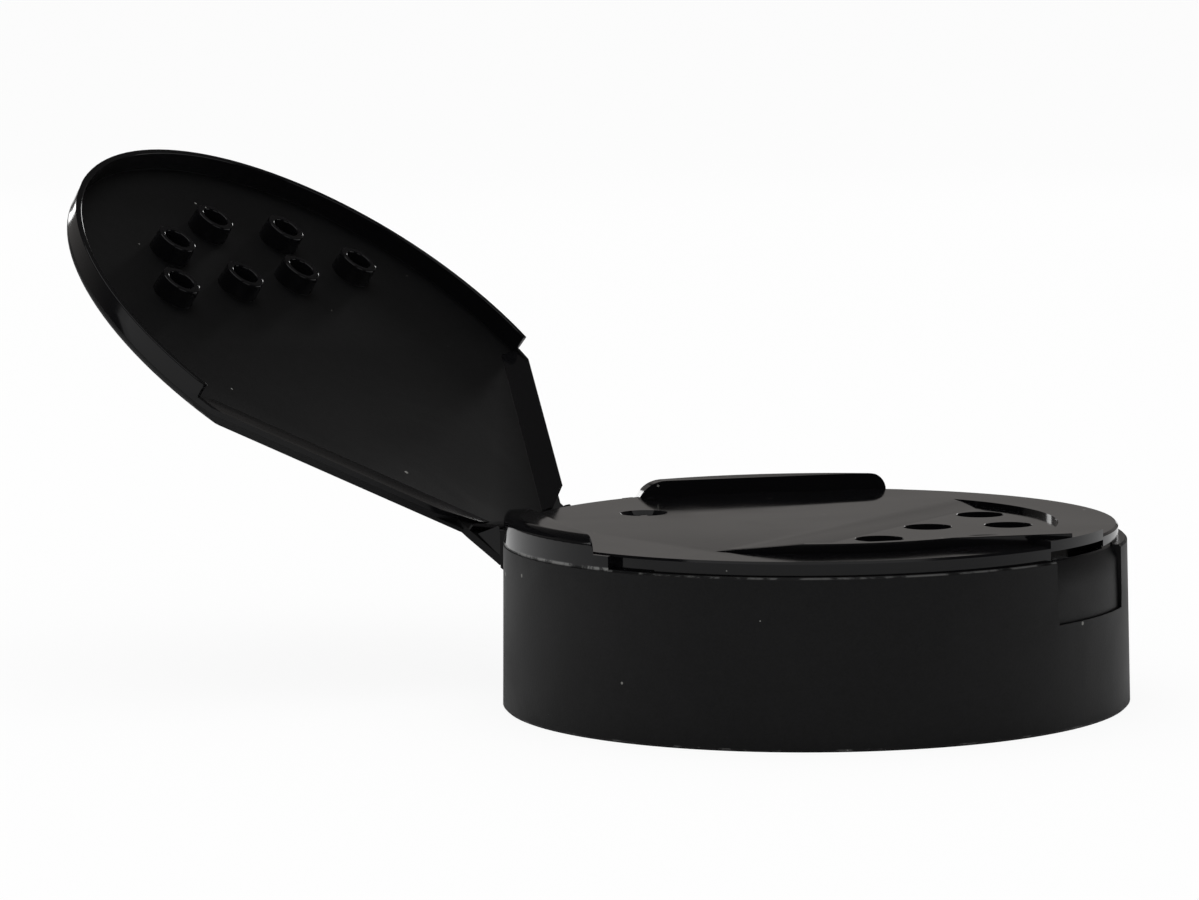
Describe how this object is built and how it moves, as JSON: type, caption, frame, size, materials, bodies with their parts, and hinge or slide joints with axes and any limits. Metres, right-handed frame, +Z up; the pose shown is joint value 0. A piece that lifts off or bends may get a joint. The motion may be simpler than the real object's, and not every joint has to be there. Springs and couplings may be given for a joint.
{
  "type": "flip top cap",
  "caption": "Wide, low screw-on jar cap with a sifter deck and a hinged lid whose hollow plugs stop the sifter holes; lid standing open.",
  "frame": {"origin": "centre of the cap's axis in the plane of the skirt's open rim", "axes": "+Z up along the cap's axis, +Y towards the hinge, -Y towards the thumb recess, +X across"},
  "size_m": [0.055, 0.1003, 0.0476],
  "materials": {
    "black_pp": "moulded black polypropylene, matt skirt and lid underside, glossy deck"
  },
  "bodies": {
    "base": {"base": "black_pp"},
    "lid": {"lid": "black_pp"}
  },
  "joints": [
    {"name": "lid_hinge", "type": "hinge", "parent": "base", "child": "lid", "pos_m": [0, 0.0277, 0.01469], "axis": [-1, 0, 0], "range_deg": [-143.28, 0]}
  ]
}
